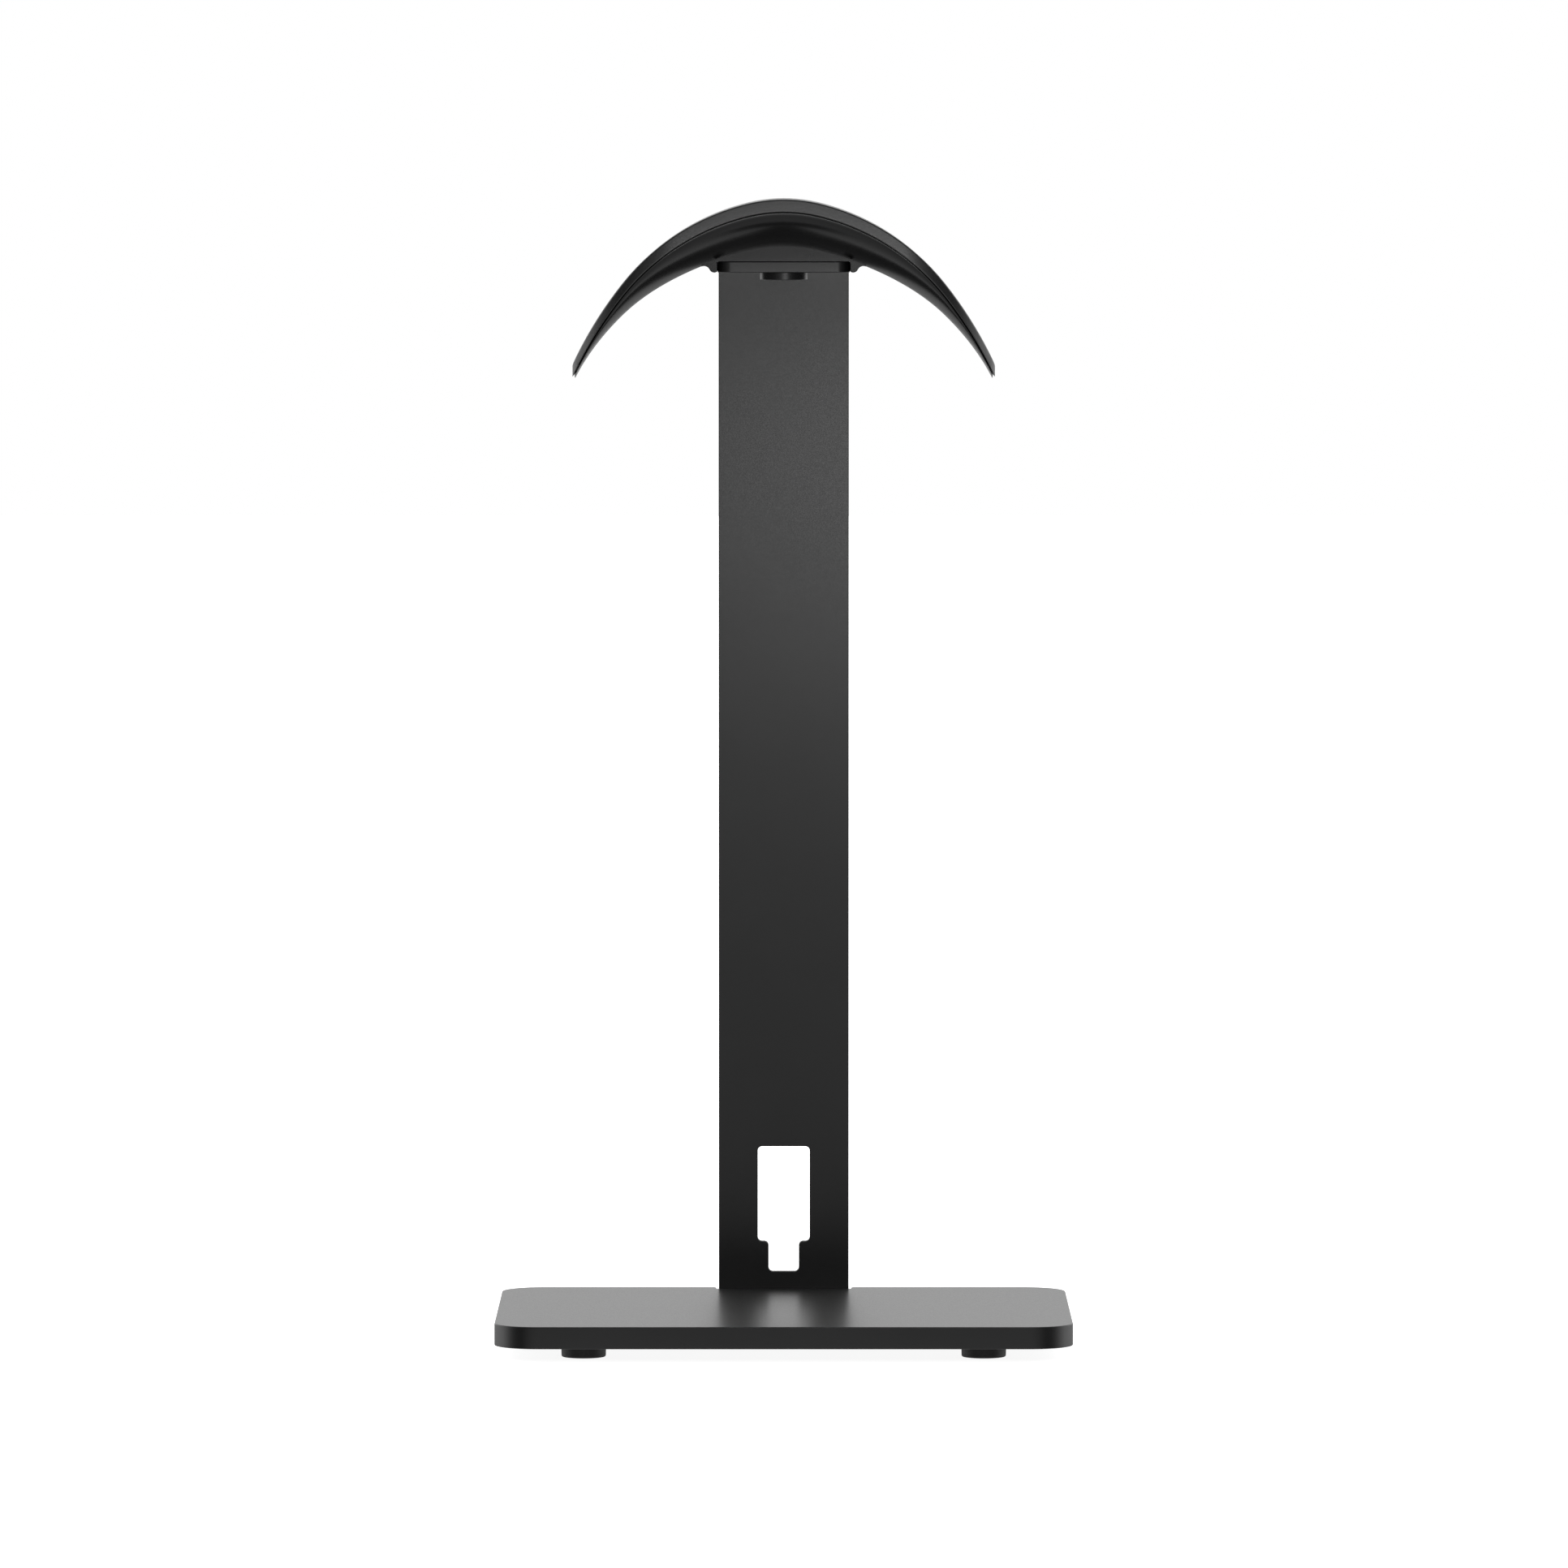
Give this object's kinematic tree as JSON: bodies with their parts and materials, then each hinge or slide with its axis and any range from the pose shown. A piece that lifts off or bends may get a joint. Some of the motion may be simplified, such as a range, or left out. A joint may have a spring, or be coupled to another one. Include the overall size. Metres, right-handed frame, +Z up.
{
  "type": "headphone stand",
  "caption": "Free-standing desk stand: flat base plate, bent metal strip upright with a cable cut-out, and a curved saddle that carries a headband.",
  "frame": {"origin": "on the desk surface, under the middle of the base plate", "axes": "+X to the right seen from the front, -Y to the front, +Z up"},
  "size_m": [0.13, 0.095, 0.26],
  "materials": {
    "black_metal": "fine satin black coating",
    "grained_plastic": "fine matte grain",
    "satin_plastic": "smooth satin",
    "foot_rubber": "matte",
    "foot_adhesive": "foam adhesive film",
    "black_screw": "black oxide, semi-gloss",
    "screw_steel": "zinc plated",
    "insert_brass": "machined"
  },
  "bodies": {
    "root": {"base_plate": "black_metal", "upright": "black_metal", "base_screws": "screw_steel", "rest_cover": "grained_plastic", "rest_body": "satin_plastic", "rest_cover_screws": "screw_steel", "rest_insert": "insert_brass", "rest_screw": "black_screw", "foot_front_left": "foot_rubber", "foot_front_right": "foot_rubber", "foot_rear_left": "foot_rubber", "foot_rear_right": "foot_rubber", "foot_adhesive_front_left": "foot_adhesive", "foot_adhesive_front_right": "foot_adhesive", "foot_adhesive_rear_left": "foot_adhesive", "foot_adhesive_rear_right": "foot_adhesive"}
  },
  "joints": []
}
